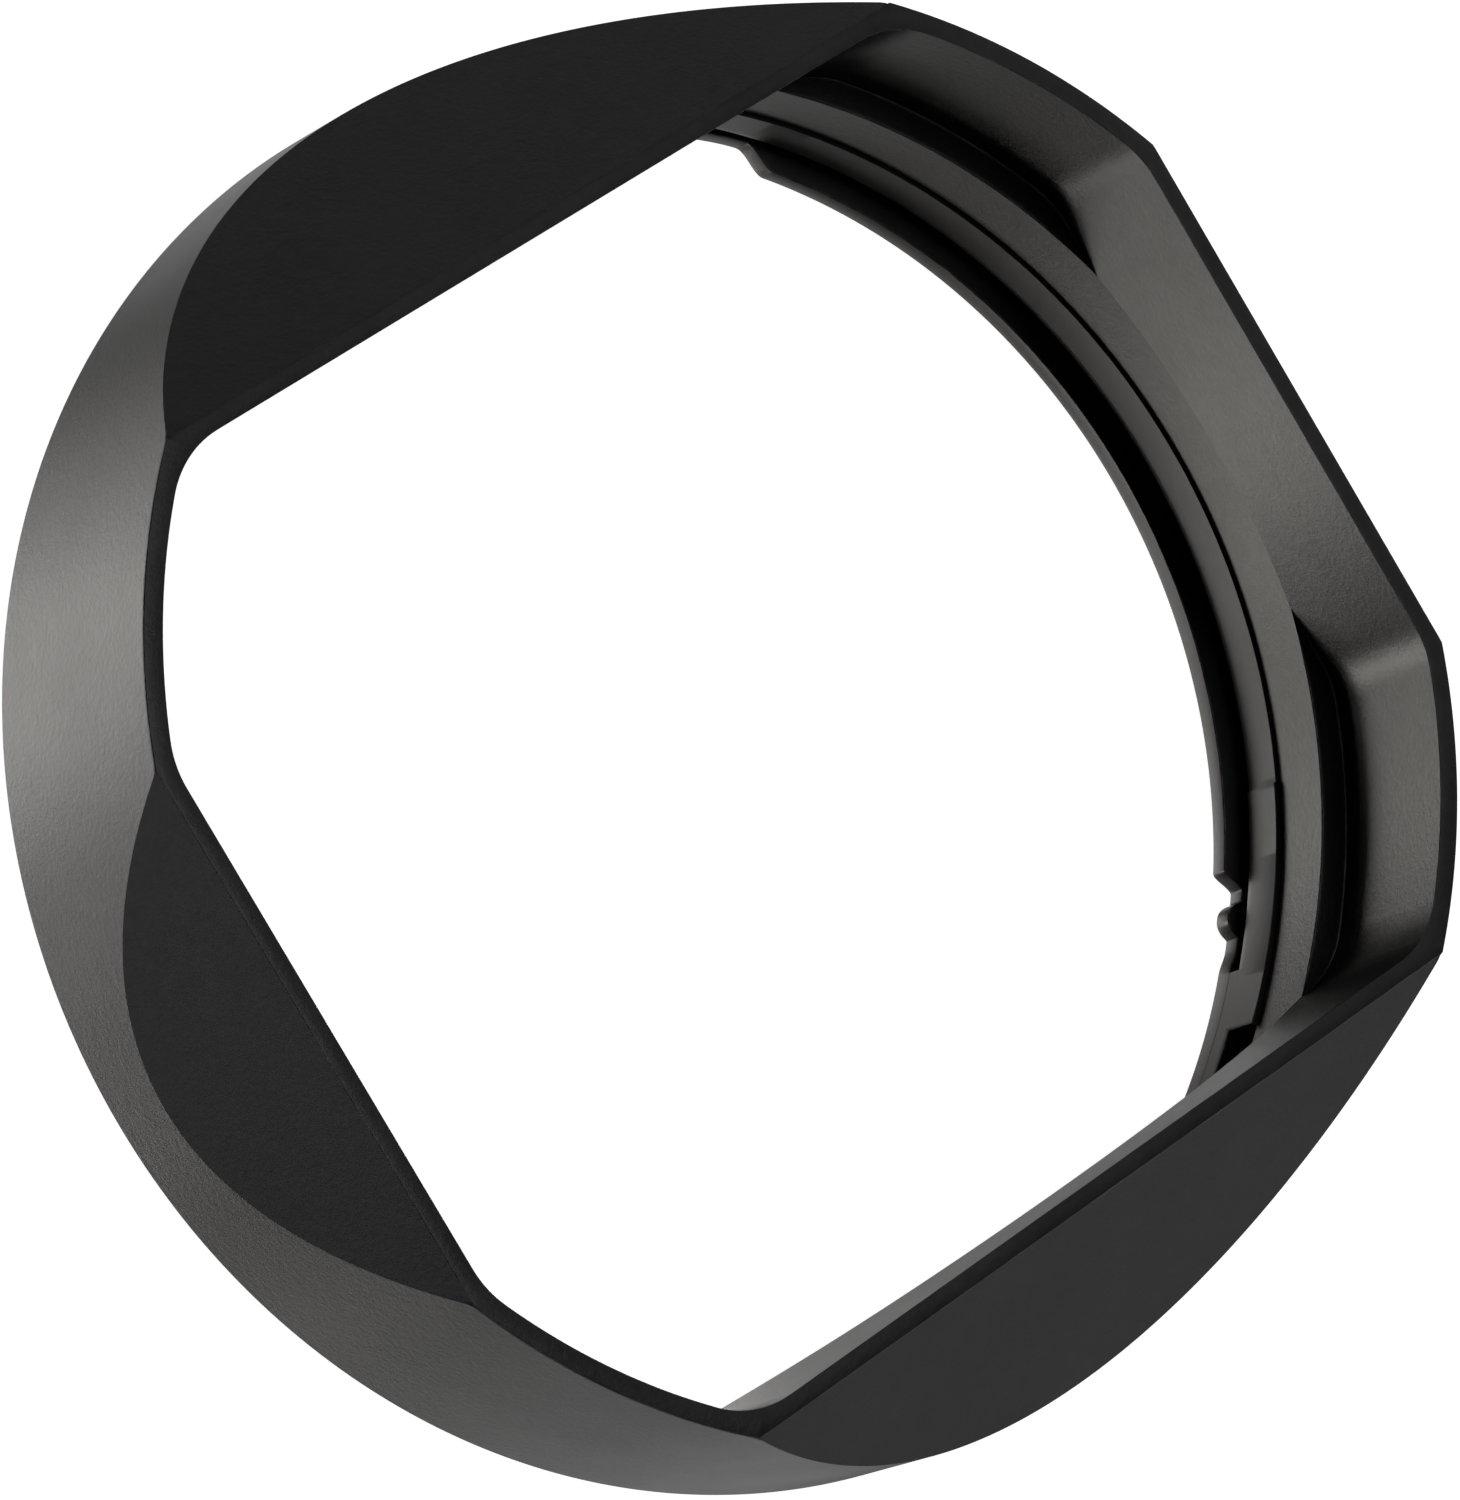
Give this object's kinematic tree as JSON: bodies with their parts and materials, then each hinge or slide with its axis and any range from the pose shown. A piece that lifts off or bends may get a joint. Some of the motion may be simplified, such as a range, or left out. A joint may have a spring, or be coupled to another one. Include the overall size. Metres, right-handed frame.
{
  "type": "lens hood",
  "caption": "Black metal lens hood: round bayonet rear with lugs and detent, sloping flats, and a wide rectangular front opening with arc corners.",
  "frame": {"origin": "centre of the flat rear face of the bayonet ring, on the optical axis; the hood rests on that face", "axes": "+Z along the optical axis from the rear bayonet to the front rim; X along the wide side of the front opening, Y along its narrow side"},
  "size_m": [0.08, 0.08, 0.0191],
  "materials": {
    "black_anodised_aluminium_shell": "black anodised, fine satin bead blast",
    "black_anodised_aluminium_ring": "black anodised, machined satin"
  },
  "bodies": {
    "root": {"hood_shell": "black_anodised_aluminium_shell", "bayonet_ring": "black_anodised_aluminium_ring"}
  },
  "joints": []
}
